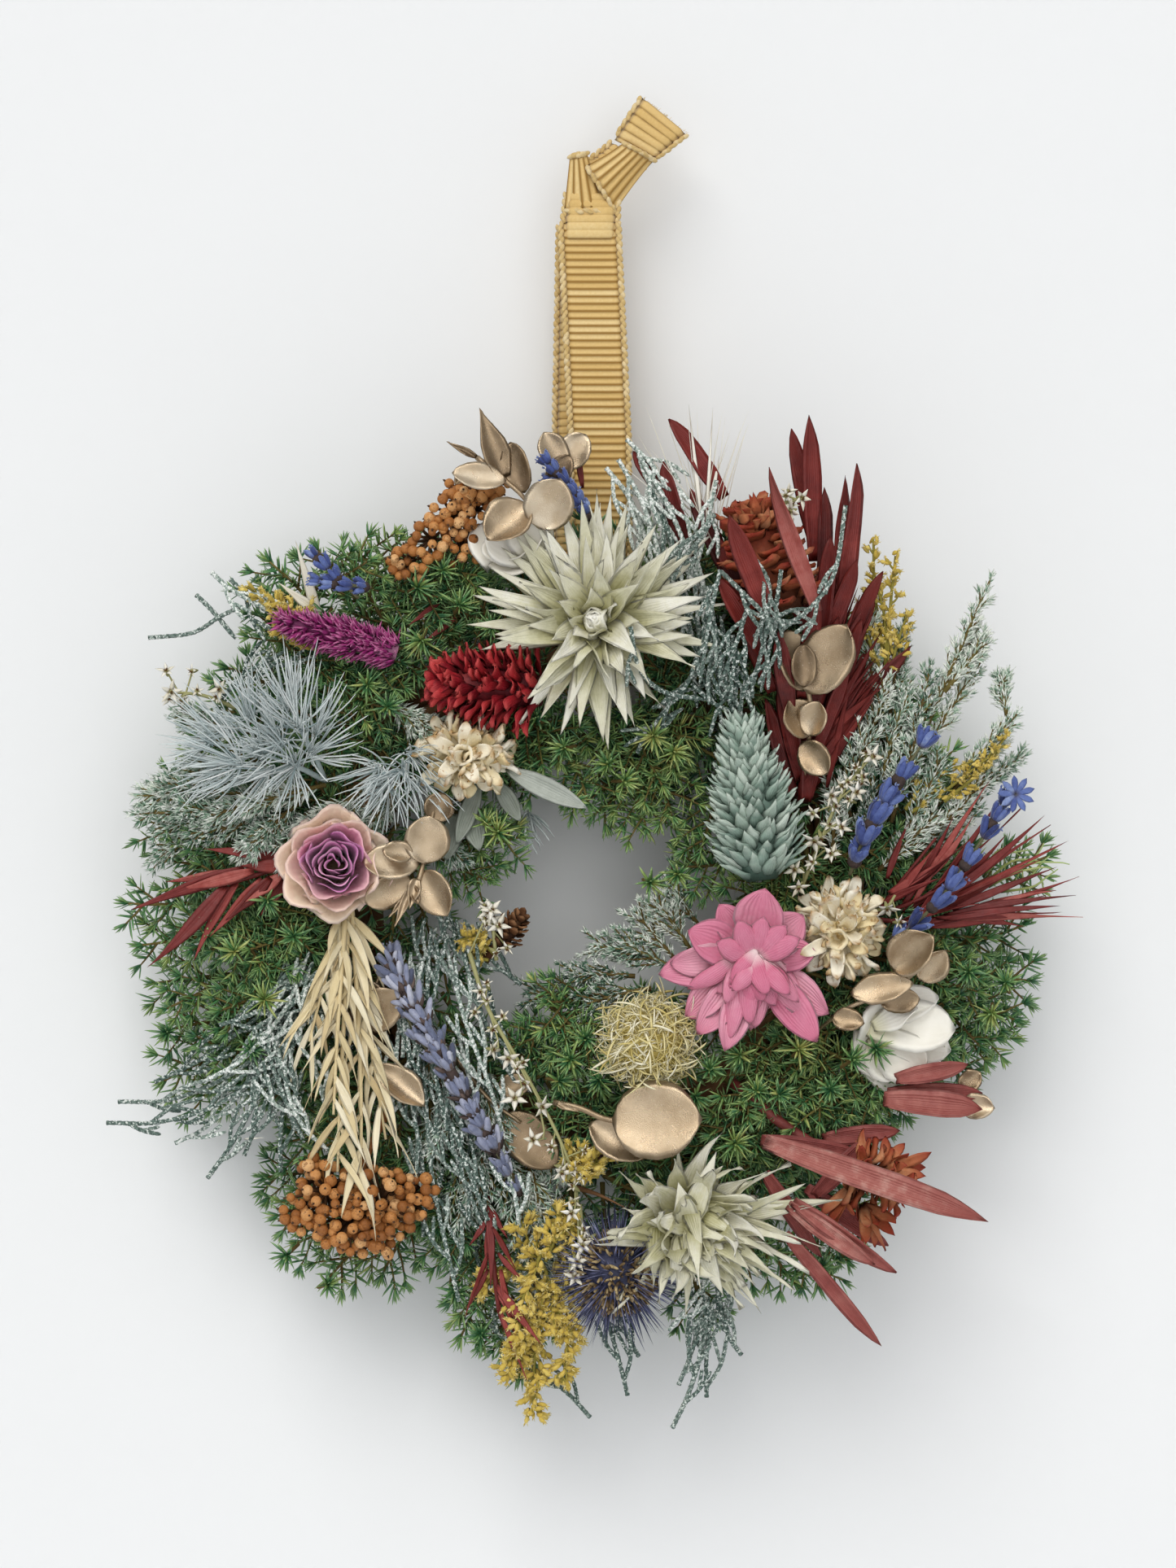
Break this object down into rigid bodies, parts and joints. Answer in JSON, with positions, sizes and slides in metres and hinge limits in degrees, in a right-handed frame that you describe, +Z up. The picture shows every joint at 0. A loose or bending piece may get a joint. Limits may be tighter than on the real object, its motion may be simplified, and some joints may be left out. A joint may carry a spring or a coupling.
{
  "type": "dried flower door wreath",
  "caption": "Round dried-flower and evergreen wreath bound on a cane ring, hung from a knotted ribbed ribbon loop that folds at the ring.",
  "frame": {"origin": "inside the top of the ribbon loop, just under the knot, where the hook bears", "axes": "+Z up, -Y the front that faces the room, +Y towards the door, +X to the right seen from the front"},
  "size_m": [0.2596, 0.0644, 0.357],
  "materials": {
    "blue_fern": "pale blue-grey needles",
    "cane": "dull dried vine bark",
    "cone_scale": "brown cone scales",
    "cream_bract": "papery bracts with a satin sheen",
    "cream_leaf": "bleached thin leaves",
    "cream_pod": "cream pods with brown-gold rims",
    "crimson_bract": "dyed crimson bracts",
    "dark_red_leaf": "leathery dark-red leaves",
    "florist_wire": "green enamelled binding wire",
    "frosted_cypress": "blue-green foliage with white frosting",
    "gold_leaf": "leaves sprayed with champagne metallic paint",
    "goldenrod_floret": "mustard-yellow florets",
    "himuro_green": "preserved juniper-type foliage, matt",
    "ivory_petal": "soft ivory petals",
    "lavender_floret": "dried blue-violet calyxes",
    "magenta_plume": "velvety magenta plume",
    "orange_berry": "tan-orange berries",
    "petersham_ribbon": "mustard-gold ribbed petersham with a soft sheen",
    "pink_petal": "glossy papery petals, pink to white",
    "red_ruscus": "thin dyed red leaves",
    "rose_petal": "dried rose petals, beige to magenta",
    "sage_bract": "dyed sage bracts, matt",
    "star_flower": "small cream star flowers",
    "terracotta_scale": "woody terracotta-red scales",
    "thistle_spine": "indigo spines",
    "yellow_curls": "fine curled straw-yellow strips"
  },
  "bodies": {
    "hanger": {"hanging_ribbon": "petersham_ribbon"},
    "wreath": {"berries_bottom": "orange_berry", "berries_top": "orange_berry", "binding_wire": "florist_wire", "celosia_magenta": "magenta_plume", "cream_leaf_spray": "cream_leaf", "curly_seed_ball": "yellow_curls", "cypress_bottom_left": "himuro_green", "cypress_bottom_right": "himuro_green", "cypress_inner_top": "himuro_green", "cypress_left_lower": "himuro_green", "cypress_left_upper": "himuro_green", "cypress_right_lower": "himuro_green", "cypress_right_upper": "himuro_green", "cypress_top_left": "himuro_green", "cypress_top_right": "himuro_green", "eucalyptus_bottom": "gold_leaf", "eucalyptus_centre": "gold_leaf", "eucalyptus_left": "gold_leaf", "eucalyptus_lower_right": "gold_leaf", "eucalyptus_right": "gold_leaf", "eucalyptus_top_left": "gold_leaf", "fern_tufts": "blue_fern", "frosted_sprig_left": "frosted_cypress", "frosted_sprig_right": "frosted_cypress", "goldenrod_bottom": "goldenrod_floret", "goldenrod_upper_left": "goldenrod_floret", "goldenrod_upper_right": "goldenrod_floret", "lavender_long": "lavender_floret", "lavender_right_inner": "lavender_floret", "lavender_right_outer": "lavender_floret", "lavender_top": "lavender_floret", "lavender_upper_left": "lavender_floret", "leucadendron_cone_lower": "terracotta_scale", "leucadendron_cone_upper": "terracotta_scale", "leucadendron_leaves_lower": "dark_red_leaf", "leucadendron_leaves_upper": "dark_red_leaf", "pod_cluster_lower": "cream_pod", "pod_cluster_upper": "cream_pod", "red_bract_cone": "crimson_bract", "rose_head": "rose_petal", "ruscus_bottom": "red_ruscus", "ruscus_left": "red_ruscus", "ruscus_right": "red_ruscus", "sage_cone": "sage_bract", "small_pine_cone": "cone_scale", "star_bloom_bottom": "cream_bract", "star_bloom_top": "cream_bract", "starflowers_left": "star_flower", "starflowers_right": "star_flower", "strawflower_pink": "pink_petal", "thistle_blue": "thistle_spine", "thread_cypress_bottom": "frosted_cypress", "thread_cypress_left": "frosted_cypress", "thread_cypress_upper_right": "frosted_cypress", "vine_ring": "cane", "white_rose_right": "ivory_petal", "white_rose_top": "ivory_petal"}
  },
  "joints": [
    {"name": "wreath_swing", "type": "hinge", "parent": "hanger", "child": "wreath", "pos_m": [0, 0, -0.117], "axis": [1, 0, 0], "range_deg": [-4, 0]}
  ]
}
